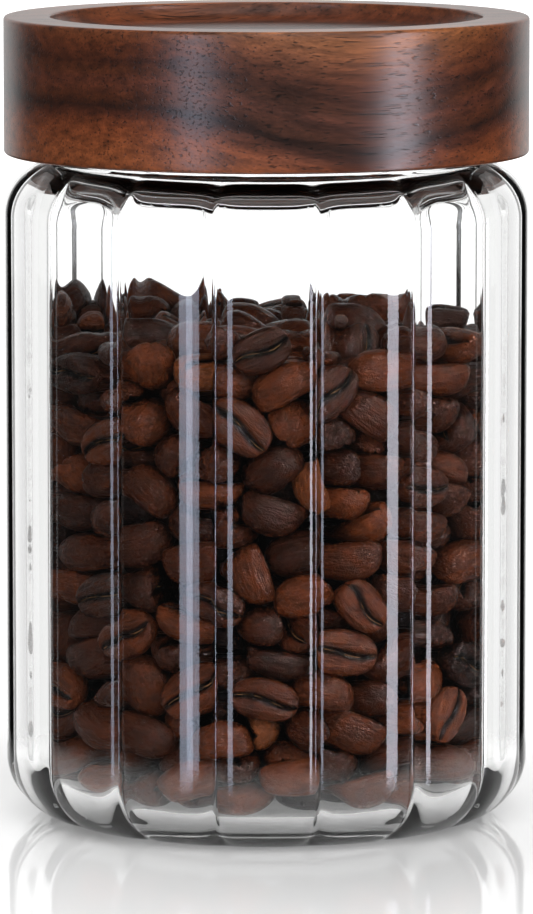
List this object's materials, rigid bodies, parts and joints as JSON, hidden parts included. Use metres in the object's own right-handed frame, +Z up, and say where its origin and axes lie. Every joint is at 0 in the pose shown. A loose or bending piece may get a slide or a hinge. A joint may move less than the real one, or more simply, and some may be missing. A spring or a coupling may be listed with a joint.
{
  "type": "food canister",
  "caption": "Fluted glass storage canister with a thick turned wood lid on a straight neck, a finned silicone seal, and roasted coffee beans inside.",
  "frame": {"origin": "middle of the foot that the jar stands on, on the jar's axis", "axes": "+Z up along the jar's axis and the way the lid lifts off; a flute's crest faces -Y and another faces +Y"},
  "size_m": [0.096, 0.096, 0.147],
  "materials": {
    "clear_glass": "gloss",
    "dark_wood": "satin",
    "silicone": "matte",
    "roasted_coffee": "satin"
  },
  "bodies": {
    "jar": {"glass_jar": "clear_glass", "coffee_beans": "roasted_coffee"},
    "lid": {"wood_lid": "dark_wood", "seal_ring": "silicone"}
  },
  "joints": [
    {"name": "lid_lift", "type": "slide", "parent": "jar", "child": "lid", "axis": [0, 0, 1], "range_m": [0, 0.05]}
  ]
}
